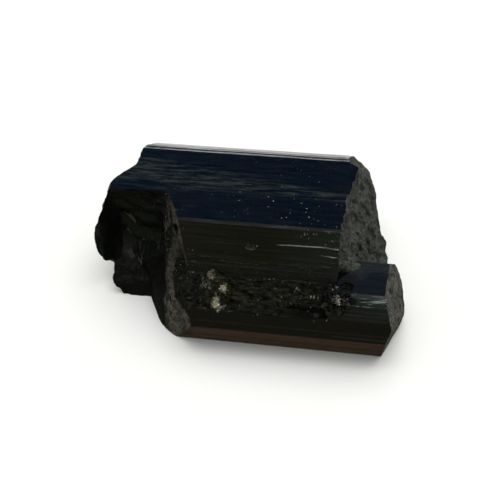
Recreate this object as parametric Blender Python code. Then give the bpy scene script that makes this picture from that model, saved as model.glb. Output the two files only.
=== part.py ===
"""Black tourmaline (schorl), lying on a prism face: two crystals grown side by side, broken at both ends.

X runs along the crystals, Y from the front to the back and Z up, with the resting face at Z = 0.
Sizes are in millimetres and are turned into metres where a mesh is made.
"""
import math
import random

import bmesh
import bpy
from mathutils import Matrix, Vector, noise

MM = 0.001

# The main crystal: its prism faces, walked from the resting face up the front and over to the back.
# Each face is (angle of its normal above the front, width, number of growth terraces).
MAIN_START = (-5.5, 0.0)
MAIN_TOP = 26.4
MAIN_FACES = (
    (-30, 10.8, 0), (0, 3.4, 0), (30, 15.2, 9), (60, 0.7, 0), (90, 21.6, 15),
    (112, 3.6, 2), (118, 3.6, 2), (150, 7.6, 4), (210, 14.0, 6), (240, 9.2, 4),
)

# The second crystal, lower and in front, with its axis parallel to the first.
SECOND_START = (-8.25, 0.0)
SECOND_FACES = (
    (-30, 9.1, 6), (0, 5.3, 5), (30, 4.4, 3), (60, 0.9, 0), (90, 5.2, 2),
    (95, 4.2, 2), (130, 4.2, 0), (165, 6.0, 0), (190, 7.0, 0),
)

TERRACE_DEPTHS = (0.03, 0.11)
TERRACE_RISER = 0.3
UNCUT_X = (-36.0, 36.0)

# Right-hand break of the main crystal: nearly square at the top, spreading out towards its foot.
MAIN_END_X = 19.1
MAIN_END_BACK = 1.2
MAIN_END_SPREAD = 0.34
MAIN_END_SPREAD_FROM_Z = 21.5
MAIN_END_FOOT = (-2.4, 16.6, 2.8, 2.6)          # Y, Z, how far it juts out, how wide it is
MAIN_END_CHIP = (2.0, 1.5)                      # how far the back top edge is chipped, and how deep

# Right-hand break of the second crystal: one curved face, and a facet across its lower front corner.
SECOND_END_X = 31.5
SECOND_END_LEAN = 0.06
SECOND_END_CURVE = 0.0085
SECOND_FACET_X = 27.7
SECOND_FACET_TURN = 0.325
SECOND_FACET_LEAN = 0.28

# Left-hand break: the outer end bulges towards the middle of its height.
LEFT_END_X = -24.2
LEFT_END_STEP = 2.9
LEFT_END_STEP_Y = (13.5, 7.5)                    # at the top edge; lower down it lies further back
LEFT_END_STEP_LEAN = 0.9
LEFT_END_BULGE = 4.7
LEFT_END_BACK_CORNER = 2.2

# The shell-shaped hollow broken out of the front, with a low ledge left at its foot.
HOLLOW_RIM_Y = 4.65
HOLLOW_DEPTH = 5.9
HOLLOW_LEDGE_Z = 4.5
HOLLOW_LEDGE_Y = 2.6
HOLLOW_SIDE_RIM_X = (-28.9, -31.2)
HOLLOW_WALL = (-10.6, -5.4, 2.04)               # X, Y and slope of its right wall
SECOND_LEFT_BREAK = (-8.8, -12.7, 1.29)         # X, Y and slope of the second crystal's left end
SECOND_LEFT_FOOT = (-12.5, -21.0, 2.2)          # between these X, how far the foot bulges forward
SECOND_LEFT_BACK = (-15.2, 4.0)                 # left of this X it falls back steeply, at this slope

# Where the upper front edge of the second crystal has crumbled away against the main one.
SEAM_X = (-15.0, 17.6)
SEAM_Z = (12.7, 17.9)
SEAM_SINK = 0.35

# The knob of crumbled grains at the right end of the seam.
KNOB_CENTRE = (19.3, -9.9, 14.9)
KNOB_RADII = (2.6, 2.2, 2.9)

# The patch of pale mica grown into the seam, and the gap left around it.
MICA_CENTRE = (-4.2, -10.0, 14.6)
MICA_RADII = (3.1, 1.15, 4.0)
MICA_TILT = math.radians(-30)
MICA_GAP = 0.3
LUMP_GRAIN = 1.6                                # size of the unevenness of the knob, patch and pits

# Small pits and holes: centre, radii.
PITS = {
    "hole_left": ((-12.9, -1.5, 21.8), (1.1, 1.5, 1.3)),
    "crevice_right": ((20.6, -8.6, 18.3), (1.4, 1.7, 2.3)),
    "pit_round": ((9.2, -10.4, 14.2), (0.6, 0.9, 0.6)),
    "pit_olive": ((2.3, -5.3, 22.5), (1.0, 0.5, 0.6)),
    "slit_upper": ((-13.9, -6.0, 8.4), (0.4, 0.8, 0.9)),
    "slit_lower": ((-11.4, -9.1, 12.1), (0.4, 0.8, 0.8)),
}

# Unevenness of the breaks: how high it stands, and how large its lumps are.
MAIN_END_PITS = (0.8, 2.6)
MAIN_END_LUMPS = (0.5, 4.5)
SECOND_END_LUMPS = (0.13, 2.2)
LEFT_END_LUMPS = (0.6, 4.0)
HOLLOW_LUMPS = (0.55, 5.0)
HOLLOW_RIPPLE = (0.22, 1.5)                     # how high, and how many radians each millimetre
HOLLOW_RIPPLE_CENTRE = (-18.0, 24.0)            # X and Z
LEDGE_LUMPS = (0.5, 3.0)
RIM_LUMPS = (0.4, 2.5)
UPPER_WALL_LUMPS = (0.7, 1.9)
LOWER_WALL_LUMPS = (0.25, 2.4)
SEAM_LUMPS = (0.55, 1.3)

# Spacing of the points on the breaks: the large ones, the gentle ends, and the seam.
BREAK_CELL = 1.05
LEFT_BREAK_CELL = 1.35
SECOND_BREAK_CELL = 1.6
SEAM_CELL = 0.9


def ramp(low, high, value):
    """0 at low, 1 at high, smooth between them (low may be the larger)."""
    t = min(1.0, max(0.0, (value - low) / (high - low)))
    return t * t * (3.0 - 2.0 * t)


def rough(place, size, octaves):
    """Fractal unevenness, about -1 to 1, with lumps of the given size."""
    return noise.fractal(Vector(place) / size, 0.9, 2.1, octaves)


def uneven(lumps, u, v, layer):
    """How far a break stands out at u, v; each layer is a pattern of its own."""
    height, size = lumps
    return height * rough((u, v, layer), size, 4)


def main_right_end(y, z):
    spread = MAIN_END_SPREAD * max(0.0, MAIN_END_SPREAD_FROM_Z - z) * ramp(-7.0, 2.0, y)
    foot_y, foot_z, foot_out, foot_width = MAIN_END_FOOT
    foot = foot_out * math.exp(-((y - foot_y) ** 2 + (z - foot_z) ** 2) / foot_width ** 2)
    back = MAIN_END_BACK * ramp(5.0, 19.0, y)
    chip_length, chip_depth = MAIN_END_CHIP
    back_edge, (slope, _, _) = MAIN_BACK_EDGE, MAIN_FACES[5]
    turn = math.radians(slope)
    below = math.sin(turn) * (back_edge.y - z) - math.cos(turn) * (back_edge.x - y)
    chip = chip_length * math.exp(-(max(0.0, below) / chip_depth) ** 2)
    chip *= ramp(back_edge.x - 1.8, back_edge.x - 0.4, y)
    pits = abs(uneven(MAIN_END_PITS, y, 0.4 * z + 0.3 * y, 3.1))
    lumps = uneven(MAIN_END_LUMPS, y, z, 8.2)
    return MAIN_END_X + back + spread + foot - chip - pits + lumps


def second_right_end(y, z):
    face = SECOND_END_X - SECOND_END_LEAN * z - SECOND_END_CURVE * z * z + 0.01 * y
    facet = SECOND_FACET_X + SECOND_FACET_TURN * (y - SECOND_START[0]) + SECOND_FACET_LEAN * z
    return min(face, facet) + uneven(SECOND_END_LUMPS, y, z, 1.7)


def left_end(y, z):
    down = min(1.0, max(0.0, (MAIN_TOP - z) / MAIN_TOP))
    begins, ends = LEFT_END_STEP_Y
    step = LEFT_END_STEP * ramp(begins, ends, y - LEFT_END_STEP_LEAN * (MAIN_TOP - z))
    bulge = (LEFT_END_BULGE - 1.2 * ramp(6.0, 20.0, y)) * math.sin(math.pi * down)
    drawn_in = LEFT_END_BACK_CORNER * ramp(20.0, 26.5, y)
    return LEFT_END_X - step - bulge + drawn_in + uneven(LEFT_END_LUMPS, y, z, 5.5)


def second_left_face(x, z):
    face_x, face_y, slope = SECOND_LEFT_BREAK
    face = face_y - slope * (x - face_x) + 0.095 * (z - 6.7)
    foot_right, foot_left, foot_out = SECOND_LEFT_FOOT
    across = min(1.0, max(0.0, (x - foot_right) / (foot_left - foot_right)))
    foot = foot_out * math.sin(math.pi * across) * ramp(11.0, 7.0, z)
    back_x, back_slope = SECOND_LEFT_BACK
    fall = (back_slope - slope) * max(0.0, back_x - x) * ramp(7.0, 9.5, z)
    return face - foot + fall


def hollow_back(x, z):
    """The hollow's curved back wall, the ledge at its foot and the rim on its left."""
    height = (z - HOLLOW_LEDGE_Z) / (MAIN_TOP - HOLLOW_LEDGE_Z)
    back = HOLLOW_RIM_Y + HOLLOW_DEPTH * max(0.0, math.sin(math.pi * min(1.0, max(0.0, height)) ** 0.8))
    back += 2.4 * ramp(0.6, 0.0, height)
    ripple_height, ripple_rate = HOLLOW_RIPPLE
    ripple_x, ripple_z = HOLLOW_RIPPLE_CENTRE
    back += ripple_height * math.sin(ripple_rate * math.hypot(x - ripple_x, z - ripple_z))
    back += uneven(HOLLOW_LUMPS, x, z, 2.4)
    ledge = HOLLOW_LEDGE_Y + uneven(LEDGE_LUMPS, x, z, 6.6)
    back = back + (ledge - back) * ramp(HOLLOW_LEDGE_Z + 0.5, HOLLOW_LEDGE_Z - 0.6, z)
    rim = 2.4 + 0.08 * z + uneven(RIM_LUMPS, x, z, 4.4)
    return back + (rim - back) * ramp(*HOLLOW_SIDE_RIM_X, x) * ramp(26.4, 23.0, z)


def left_front(x, z):
    """How far back the front has broken away, at each place of the left-hand end."""
    wall_x, wall_y, slope = HOLLOW_WALL
    upper_wall = wall_y - slope * (x - wall_x) + uneven(UPPER_WALL_LUMPS, x, z, 9.3)
    lower_wall = second_left_face(x, z) + uneven(LOWER_WALL_LUMPS, x, z, 7.7)
    wall = lower_wall + (upper_wall - lower_wall) * ramp(15.0, 18.0, z)
    return min(hollow_back(x, z), wall)


def seam_face(x, z):
    """The crumbled strip between the crystals: the main crystal's front face, sunk a little and ragged."""
    face = MAIN_SEAM_CORNER[0] + (z - MAIN_SEAM_CORNER[1]) * math.tan(math.radians(30))
    ragged = uneven(SEAM_LUMPS, 0.35 * x, z, 2.8)
    return face + (SEAM_SINK + ragged) * ramp(SEAM_Z[1], SEAM_Z[1] - 1.9, z)


def walk(start, faces):
    """The corners of a prism section, face after face."""
    corners = [Vector(start)]
    for angle, width, _ in faces:
        turn = math.radians(angle)
        corners.append(corners[-1] + width * Vector((math.sin(turn), math.cos(turn))))
    return corners


MAIN_SEAM_CORNER = walk(MAIN_START, MAIN_FACES)[2]
MAIN_BACK_EDGE = walk(MAIN_START, MAIN_FACES)[5]


def terraced_outline(start, faces, rng):
    """The prism section with growth terraces: shallow treads and short risers across each face."""
    points = [Vector(start)]
    corners = walk(start, faces)
    for (angle, width, terraces), corner, after in zip(faces, corners, corners[1:]):
        turn = math.radians(angle)
        along = Vector((math.sin(turn), math.cos(turn)))
        inward = Vector((math.cos(turn), -math.sin(turn)))
        tread = width / (terraces + 1)
        places = [tread * (number + 1 + rng.uniform(-0.33, 0.33)) for number in range(terraces)]
        depth = 0.0
        for number, place in enumerate(places):
            points.append(corner + along * (place - TERRACE_RISER) + inward * depth)
            last = number == terraces - 1
            depth = 0.0 if last or rng.random() < 0.3 else rng.uniform(*TERRACE_DEPTHS)
            points.append(corner + along * place + inward * depth)
        points.append(after)
    if points[-1].y <= 0.02:
        points[-1].y = 0.0
    return points


def new_object(name, mesh, collection):
    shape = bpy.data.objects.new(name, mesh)
    collection.objects.link(shape)
    return shape


def prism(name, outline, length_range, collection):
    """A flat outline in Y and Z, extruded along X, as a closed mesh."""
    low, high = length_range
    curve = bpy.data.curves.new(name, "CURVE")
    curve.dimensions = "2D"
    curve.fill_mode = "BOTH"
    curve.extrude = (high - low) / 2 * MM
    spline = curve.splines.new("POLY")
    spline.points.add(len(outline) - 1)
    spline.use_cyclic_u = True
    for point, (y, z) in zip(spline.points, outline):
        point.co = (y * MM, z * MM, 0.0, 1.0)
    drawn = new_object(name, curve, collection)
    bpy.context.view_layer.update()
    mesh = bpy.data.meshes.new_from_object(drawn.evaluated_get(bpy.context.evaluated_depsgraph_get()))
    bpy.data.objects.remove(drawn)
    mesh.shade_flat()
    mesh.transform(Matrix(((0, 0, 1, (low + high) / 2 * MM), (1, 0, 0, 0), (0, 1, 0, 0), (0, 0, 0, 1))))
    closed = bmesh.new()
    closed.from_mesh(mesh)
    bmesh.ops.remove_doubles(closed, verts=closed.verts, dist=1e-7)
    bmesh.ops.recalc_face_normals(closed, faces=closed.faces)
    closed.to_mesh(mesh)
    closed.free()
    return new_object(name, mesh, collection)


def break_block(name, axes, u_range, v_range, cell, surface, far, collection):
    """A block whose inner side is a break: a grid in two axes, moved along the third by surface(u, v)."""
    u_axis, v_axis, depth_axis = axes
    steps = [max(2, round((high - low) / cell)) for low, high in (u_range, v_range)]
    block = bmesh.new()
    bmesh.ops.create_grid(block, x_segments=steps[0], y_segments=steps[1], size=0.5)
    bmesh.ops.triangulate(block, faces=block.faces)
    for vert in block.verts:
        u = u_range[0] + (vert.co.x + 0.5) * (u_range[1] - u_range[0])
        v = v_range[0] + (vert.co.y + 0.5) * (v_range[1] - v_range[0])
        u += 0.3 * cell * noise.noise(Vector((u, v, 1.3)) / cell * 0.9)
        v += 0.3 * cell * noise.noise(Vector((u, v, 7.9)) / cell * 0.9)
        vert.co[u_axis] = u * MM
        vert.co[v_axis] = v * MM
        vert.co[depth_axis] = surface(u, v) * MM
    outer = bmesh.ops.extrude_face_region(block, geom=block.faces[:])["geom"]
    for vert in (item for item in outer if isinstance(item, bmesh.types.BMVert)):
        vert.co[depth_axis] = far * MM
    bmesh.ops.recalc_face_normals(block, faces=block.faces)
    mesh = bpy.data.meshes.new(name)
    block.to_mesh(mesh)
    block.free()
    return new_object(name, mesh, collection)


def lump(name, centre, radii, detail, unevenness, collection, tilt=0.0, grow=0.0):
    """An uneven rounded lump: an icosphere stretched to its radii, with its points pushed in and out."""
    ball = bmesh.new()
    bmesh.ops.create_icosphere(ball, subdivisions=detail, radius=1.0)
    turn = Matrix.Rotation(tilt, 3, "X")
    for vert in ball.verts:
        push = 1.0 + unevenness * rough(vert.co * 3.0 + Vector(centre), LUMP_GRAIN, 3)
        spread = Vector([radius * push + grow for radius in radii])
        vert.co = (Vector(centre) + turn @ (vert.co * spread)) * MM
    mesh = bpy.data.meshes.new(name)
    ball.to_mesh(mesh)
    ball.free()
    return new_object(name, mesh, collection)


def combine(target, tool, operation):
    boolean = target.modifiers.new(tool.name, "BOOLEAN")
    boolean.operation = operation
    boolean.solver = "EXACT"
    boolean.object = tool


def as_tool(tool):
    tool.hide_render = True
    tool.display_type = "WIRE"


def stone(name, colour, roughness):
    material = bpy.data.materials.new(name)
    material.use_nodes = True
    shader = material.node_tree.nodes["Principled BSDF"]
    shader.inputs["Base Color"].default_value = (*colour, 1.0)
    shader.inputs["Roughness"].default_value = roughness
    shader.inputs["Metallic"].default_value = 0.0
    return material


def second_crystal(tools, rng):
    """The lower, front crystal, up to the break at its right end."""
    crystal = prism("second_crystal", terraced_outline(SECOND_START, SECOND_FACES, rng), (-24.0, 36.0), tools)
    end = break_block("second_right_break", (1, 2, 0), (-17.0, 8.0), (-3.0, 21.0), SECOND_BREAK_CELL,
                      second_right_end, 40.0, tools)
    combine(crystal, end, "DIFFERENCE")
    as_tool(end)
    as_tool(crystal)
    return crystal


def tourmaline_crystal(parts, tools):
    """Both crystals as the one solid they grew into, with its breaks, crumbled seam, knob and pits."""
    rng = random.Random(11)
    crystal = prism("tourmaline_crystal", terraced_outline(MAIN_START, MAIN_FACES, rng), UNCUT_X, parts)
    right = break_block("main_right_break", (1, 2, 0), (-14.0, 32.0), (-3.0, 29.0), BREAK_CELL,
                        main_right_end, 40.0, tools)
    left = break_block("left_break", (1, 2, 0), (-2.0, 32.0), (-3.0, 29.0), LEFT_BREAK_CELL,
                       left_end, -40.0, tools)
    hollow = break_block("front_hollow", (0, 2, 1), (-38.0, -6.5), (-2.0, 29.0), BREAK_CELL,
                         left_front, -22.0, tools)
    seam = break_block("seam_break", (0, 2, 1), SEAM_X, SEAM_Z, SEAM_CELL, seam_face, -20.0, tools)
    knob = lump("knob", KNOB_CENTRE, KNOB_RADII, 4, 0.42, tools)
    pocket = lump("mica_pocket", MICA_CENTRE, MICA_RADII, 3, 0.2, tools, MICA_TILT, MICA_GAP)
    combine(crystal, right, "DIFFERENCE")
    combine(crystal, second_crystal(tools, rng), "UNION")
    combine(crystal, left, "DIFFERENCE")
    combine(crystal, hollow, "DIFFERENCE")
    combine(crystal, seam, "DIFFERENCE")
    combine(crystal, knob, "UNION")
    combine(crystal, pocket, "DIFFERENCE")
    for name, (centre, radii) in PITS.items():
        pit = lump(name, centre, radii, 2, 0.3, tools)
        combine(crystal, pit, "DIFFERENCE")
        as_tool(pit)
    for tool in (right, left, hollow, seam, knob, pocket):
        as_tool(tool)
    crystal.data.materials.append(stone("schorl", (0.006, 0.007, 0.008), 0.25))
    return crystal


def mica_patch(parts):
    patch = lump("mica_patch", MICA_CENTRE, MICA_RADII, 3, 0.2, parts, MICA_TILT)
    patch.data.materials.append(stone("muscovite_mica", (0.16, 0.15, 0.1), 0.45))
    return patch


def stand_on_centre(parts, tools):
    """Moves everything together, so that the middle of the underside of its box is the origin."""
    bpy.context.view_layer.update()
    graph = bpy.context.evaluated_depsgraph_get()
    corners = [vert.co.copy() for part in parts.objects for vert in part.evaluated_get(graph).data.vertices]
    low = Vector([min(corner[axis] for corner in corners) for axis in range(3)])
    high = Vector([max(corner[axis] for corner in corners) for axis in range(3)])
    origin = bpy.data.objects.new("specimen_origin", None)
    parts.objects.link(origin)
    for shape in (*parts.objects, *tools.objects):
        if shape is not origin:
            shape.parent = origin
    origin.location = (-(low.x + high.x) / 2, -(low.y + high.y) / 2, -low.z)


def build():
    for old in list(bpy.data.objects):
        bpy.data.objects.remove(old)
    parts = bpy.data.collections.new("tourmaline_specimen")
    tools = bpy.data.collections.new("cutters")
    for collection in (parts, tools):
        bpy.context.scene.collection.children.link(collection)
    tourmaline_crystal(parts, tools)
    mica_patch(parts)
    stand_on_centre(parts, tools)


build()
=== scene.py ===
import math

import bmesh
import bpy
import numpy as np
from mathutils import Matrix, Vector, noise


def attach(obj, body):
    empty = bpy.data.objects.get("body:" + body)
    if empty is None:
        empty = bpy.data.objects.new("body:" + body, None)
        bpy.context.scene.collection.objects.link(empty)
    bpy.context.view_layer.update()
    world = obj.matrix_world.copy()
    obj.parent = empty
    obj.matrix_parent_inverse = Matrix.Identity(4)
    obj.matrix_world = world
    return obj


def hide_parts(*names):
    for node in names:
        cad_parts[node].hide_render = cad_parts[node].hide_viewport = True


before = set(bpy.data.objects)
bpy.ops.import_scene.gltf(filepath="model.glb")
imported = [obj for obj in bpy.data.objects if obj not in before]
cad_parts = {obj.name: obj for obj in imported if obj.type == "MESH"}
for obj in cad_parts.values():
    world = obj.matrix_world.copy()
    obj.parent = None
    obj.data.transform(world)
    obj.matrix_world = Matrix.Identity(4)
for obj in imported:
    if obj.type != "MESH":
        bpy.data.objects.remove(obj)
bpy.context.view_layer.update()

MM = 0.001


# ---- The tourmaline ----------------------------------------------------------------------------
# Two black schorl crystals grown side by side into one stone. The prism faces that grew keep fine
# grooves along their length; both ends and the left front are broken, like glass or like lava.
# The piece is the solid itself, cut into fine facets and then roughened by Geometry Nodes.
GROWN_LEAN = 0.012            # a grown face leans along the crystal by less than this
GROWN_ACROSS = 0.34           # longest facet edge across a grown face, mm
GROWN_STRETCH = 8.0           # how many times longer the facets may be along the crystal
BROKEN_EDGE = 0.50            # longest facet edge on a break, mm
SPLIT_ROUNDS = 12
SPLIT_TOGETHER = 0.75         # sides this close to a facet's longest one are halved with it
FLAT_ANGLE = math.radians(0.3)


def welded_triangles(node):
    """The node's corner points in mm and its triangles, after its flat faces are put together."""
    work = bmesh.new()
    work.from_mesh(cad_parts[node].data)
    bmesh.ops.remove_doubles(work, verts=work.verts, dist=1e-7)
    bmesh.ops.dissolve_limit(work, angle_limit=FLAT_ANGLE, verts=work.verts, edges=work.edges)
    bmesh.ops.triangulate(work, faces=work.faces)
    points = np.array([vert.co for vert in work.verts]) / MM
    triangles = np.array([[vert.index for vert in face.verts] for face in work.faces])
    work.free()
    return points, triangles


def faces_of(points, triangles):
    """Which way each face looks, and its middle."""
    a, b, c = (points[triangles[:, corner]] for corner in range(3))
    cross = np.cross(b - a, c - a)
    normals = cross / np.maximum(np.linalg.norm(cross, axis=1, keepdims=True), 1e-12)
    return normals, points[triangles].mean(axis=1)


def edge_lengths(points, edges, on_grown, on_break):
    """How long each edge is, as a share of the longest that the faces beside it allow."""
    run = points[edges[:, 0]] - points[edges[:, 1]]
    grown = np.linalg.norm(run / (GROWN_STRETCH, 1.0, 1.0), axis=1) / GROWN_ACROSS
    broken = np.linalg.norm(run, axis=1) / BROKEN_EDGE
    return np.maximum(grown * on_grown, broken * on_break)


def cut_triangles(triangles, broken, middles):
    """Each triangle cut into one to four, by the new points in the middles of its sides."""
    count = (middles >= 0).sum(axis=1)
    made = [triangles[count == 0]]
    kind = [broken[count == 0]]
    for turn in range(3):
        corners = np.roll(triangles, -turn, axis=1)
        mids = np.roll(middles, -turn, axis=1)
        one = (count == 1) & (mids[:, 0] >= 0)
        two = (count == 2) & (mids[:, 2] < 0)
        three = (count == 3) & (turn == 0)
        for chosen, number in ((one, 1), (two, 2), (three, 3)):
            a, b, c = corners[chosen].T
            ab, bc, ca = mids[chosen].T
            pieces = {
                1: ((a, ab, c), (ab, b, c)),
                2: ((a, ab, c), (ab, bc, c), (ab, b, bc)),
                3: ((a, ab, ca), (ab, b, bc), (ca, bc, c), (ab, bc, ca)),
            }[number]
            for piece in pieces:
                made.append(np.stack(piece, axis=1))
                kind.append(broken[chosen])
    return np.concatenate(made), np.concatenate(kind)


def split_long_edges(points, triangles, broken):
    """Halves the longest edges round by round, until none is longer than its faces allow."""
    for _ in range(SPLIT_ROUNDS):
        sides = np.sort(np.stack([triangles, np.roll(triangles, -1, axis=1)], axis=2), axis=2)
        keys = sides[:, :, 0] * len(points) + sides[:, :, 1]
        unique_keys, where = np.unique(keys.ravel(), return_inverse=True)
        side_edge = where.reshape(-1, 3)
        edges = np.stack([unique_keys // len(points), unique_keys % len(points)], axis=1)
        on_break = np.zeros(len(edges), bool)
        on_grown = np.zeros(len(edges), bool)
        on_break[side_edge[broken].ravel()] = True
        on_grown[side_edge[~broken].ravel()] = True
        side_length = edge_lengths(points, edges, on_grown, on_break)[side_edge]
        allowed = np.maximum(1.0, SPLIT_TOGETHER * side_length.max(axis=1, keepdims=True))
        chosen = np.zeros(len(edges), bool)
        chosen[side_edge[side_length > allowed]] = True
        if not chosen.any():
            break
        middle = np.full(len(edges), -1)
        middle[chosen] = len(points) + np.arange(chosen.sum())
        points = np.concatenate([points, points[edges[chosen]].mean(axis=1)])
        triangles, broken = cut_triangles(triangles, broken, middle[side_edge])
    return points, triangles, broken


def point_share(triangles, count, flags):
    """For each point, the share of the faces around it that have the flag."""
    hits = np.zeros(count)
    total = np.zeros(count)
    for corner in range(3):
        np.add.at(hits, triangles[:, corner], flags)
        np.add.at(total, triangles[:, corner], 1.0)
    return hits / np.maximum(total, 1.0)


def plain_mesh(name, points, triangles):
    mesh = bpy.data.meshes.new(name)
    mesh.from_pydata((points * MM).tolist(), [], triangles.tolist())
    mesh.update()
    return mesh


def placed(name, data):
    """A new object for a mesh, a lamp or a camera, put in the scene."""
    thing = bpy.data.objects.new(name, data)
    bpy.context.scene.collection.objects.link(thing)
    return thing


def store(mesh, name, values, domain="POINT"):
    """Keeps one number for each point or face of the mesh, under a name that the nodes can read."""
    mesh.attributes.new(name, "FLOAT", domain).data.foreach_set("value", np.asarray(values, np.float32))


def ramp(values, low, high):
    """0 below low, 1 above high and a smooth rise between; falls instead where low is the higher."""
    share = np.clip((values - low) / (high - low), 0.0, 1.0)
    return share * share * (3.0 - 2.0 * share)


def inside(values, low, high):
    return (values > low) & (values < high)


def away(places, middle, stretch=1.0):
    """How far each place is from the middle, in mm, or less where the measure is stretched."""
    return np.linalg.norm((places - middle) / stretch, axis=1)


# Where the stone changes, in mm: x along the crystals to the right, y to the back, z up.
HOLLOW_RIGHT = -15.4                        # left of this the front is one glassy hollow
HOLLOW_BACK, HOLLOW_TOP = 9.0, 24.0
WALL_SPAN = (-20.0, -6.0)                   # the broken wall between the hollow and the front
LEDGE_BACK, LEDGE_TOP = -2.0, 9.2           # the crumbled ledge at the hollow's foot
SEAM_SPAN, SEAM_RISE = (-12.6, 18.9), (9.8, 18.7)       # the seam between the two crystals
SEAM_BACK = -11.5
STEP_RISE, RISER_TOP = (18.0, 20.5), 15.5   # small steps in the front, over and under the seam
MAIN_END = 19.5                             # the main crystal ends here, the second one goes on
MAIN_EDGE_FOOT = 25.0                       # the bevel along the main crystal's top edge
SECOND_EDGE_RISE = (16.4, 17.9)             # the bevel along the second crystal's
END_FOOT = (21.2, -11.5)                    # x and y where the main end stands on the second top
POCKET = (20.6, -14.6, 17.2)                # a pocket in front of that foot, painted dark as shade
KNOB, KNOB_RADIUS = (19.6, -18.1, 15.2), 3.4            # a crumbly knob at the seam's right end
WALL_HOLE = (-13.2, -8.0, 20.8)             # a small hole high on the wall of the hollow
FRONT_PIT = (2.7, -13.5, 22.5)              # a small dent in the upper front face
FRONT_PIT_RADIUS, FRONT_PIT_STRETCH = 0.7, (1.4, 1.0, 1.0)
GULLY_SPAN, GULLY_LINE = (9.0, 18.6), (-19.4, 12.7)     # x, then y and z, of a gully under the seam
GULLY_REACH, GULLY_DEPTH = 1.5, 0.9
DUST_MIDDLE, DUST_STRETCH = (-3.3, 14.6), (1.1, 1.2)    # x and z of the olive dust round the mica
# Fine raised ridges along the front faces: height up the stone, start from the left, and rise.
RIDGES = ((23.2, 3.0, 0.18), (21.9, 9.5, 0.15), (20.9, 12.5, 0.14), (20.1, 13.5, 0.13),
          (24.6, -9.0, 0.04), (17.3, 15.0, 0.08), (16.9, 13.0, 0.11), (16.45, 15.0, 0.09),
          (15.95, 16.0, 0.07))
RIDGE_HALF, RIDGE_FADE = 0.24, 9.0          # half a ridge's width, and the run over which it rises


def in_front_pit(places):
    return away(places, FRONT_PIT, FRONT_PIT_STRETCH) < FRONT_PIT_RADIUS


def mica_dust_at(places):
    """How much olive dust of weathered mica lies at each place on the front, thick round the plates."""
    return 0.9 * ramp(away(places[:, [0, 2]], DUST_MIDDLE, DUST_STRETCH), 4.4, 1.6)


points, triangles = welded_triangles("tourmaline_crystal")
normals, centres = faces_of(points, triangles)
x, y, z = centres.T
broken = np.abs(normals[:, 0]) > GROWN_LEAN
broken |= (x < HOLLOW_RIGHT) & (y < HOLLOW_BACK) & (z < HOLLOW_TOP) & (normals[:, 2] > -0.1)
broken |= in_front_pit(centres)
points, triangles, broken = split_long_edges(points, triangles, broken)
normals, centres = faces_of(points, triangles)
x, y, z = centres.T
nx, ny, nz = normals.T
turned_front = normals @ (0.16, -0.75, 0.64) > 0.0

# The kinds of surface, told apart by where a face lies and which way it looks.
seam = broken & inside(x, *SEAM_SPAN) & inside(z, *SEAM_RISE) & (ny < 0.3) & (y < SEAM_BACK)
ledge = broken & (x < HOLLOW_RIGHT) & (z < LEDGE_TOP) & (y < LEDGE_BACK) & (nz > -0.3)
glassy = broken & (x < HOLLOW_RIGHT) & turned_front & (nx > -0.75)
glassy &= ~ledge & ((y < 2.5) | (nx > -0.2))
top = ~broken & (nz > 0.95)
bevel = ~broken & (ny < -0.2) & inside(nz, 0.6, 0.95)
bevel &= (z > MAIN_EDGE_FOOT) | ((x > MAIN_END) & inside(z, *SECOND_EDGE_RISE))
front = ~broken & ~bevel & (ny < -0.4) & (nz > 0.2)
under = ~broken & (ny < -0.3) & (nz < -0.2)
risers = ~broken & (nz > 0.4) & (z < RISER_TOP) & (y < -19.0)
step = ~broken & (nz > 0.6) & inside(z, *STEP_RISE) & (y < -13.0) & (x < MAIN_END)
wall = broken & ~glassy & ~seam & inside(x, *WALL_SPAN) & (y < -3.0)
crumbly = (broken & ~glassy) | step

# How powdery a break is, 0 glassy to 1 grey: the ends most, though less in the pocket, which is
# left dark as painted shade, and at the far upper corner, and the wall of the hollow mostly at its foot.
from_pocket = away(centres, POCKET)
from_knob = away(centres, KNOB)
wall_powder = (0.85 - 0.50 * ramp(z, 12.0, 15.5) + 0.3 * ramp(z, 20.0, 22.0)
               - 0.40 * ramp(x, -14.0, -15.0))
end_powder = 1.0 - 0.9 * ramp(from_pocket, 2.9, 1.2)
end_powder -= 0.6 * ramp(z, 22.0, 24.2) * ramp(y, 5.0, 8.0) * (x > 15.0)
powder = np.where(broken, np.where(wall, np.clip(wall_powder, 0.06, 1.0), end_powder), 0.0)
powder[seam | glassy | ledge | (from_knob < KNOB_RADIUS)] = 0.0

# Painted shade: black painted into the deep places where shade falls, the pocket, the gully and
# the hole. The knob's breaks are darkened too, and the low risers, so that they catch no light.
gully_ends = ramp(x, 8.5, 12.0) * ramp(x, 19.0, 17.5)
gully_painted_shade = 0.8 * ramp(away(centres[:, 1:], GULLY_LINE), 1.6, 0.3) * gully_ends
hole_painted_shade = ramp(away(centres, WALL_HOLE), 1.5, 0.9)
shade = np.max([ramp(from_pocket, 3.0, 1.6), gully_painted_shade, hole_painted_shade], axis=0) * (y < -3.0)
shade = np.max([shade, 0.75 * ((from_knob < KNOB_RADIUS) & broken), 0.8 * risers], axis=0)

# Where the polish of the top is dulled and greyed: along its left edge as a pale rim of painted
# light, and on the second crystal's top by fine powder, most beside the foot of the main crystal's
# end. Olive dust also fills the small pit on the front.
from_foot = away(centres[:, :2], END_FOOT)
left_rim_painted_light = 0.8 * ramp(x, -23.2, -24.0) * (y > 4.5)
second_top = (x > MAIN_END) * (z < 20.0)
second_dull = np.maximum(0.26 + 0.7 * ramp(from_foot, 4.2, 1.6), 0.6 * ramp(y, -12.0, -11.0))
dull_and_painted_light = top * np.maximum(left_rim_painted_light, second_top * second_dull)
mica_dust = np.maximum(mica_dust_at(centres) * (y < -14.5), 0.4 * in_front_pit(centres))

# Painted highlights: fine pale lines painted faintly along the main crystal's edge, and strongly
# along the second's.
main_painted_highlights = (0.06 + 0.2 * ramp(x, 4.0, 15.0)) * (bevel & (x < MAIN_END))
painted_highlight_lines = np.maximum(main_painted_highlights, (x > 20.5) * (bevel | (front & (z > 15.7))))
bevel_dull = bevel * np.where(x < MAIN_END, 1.0, 0.65)

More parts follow.
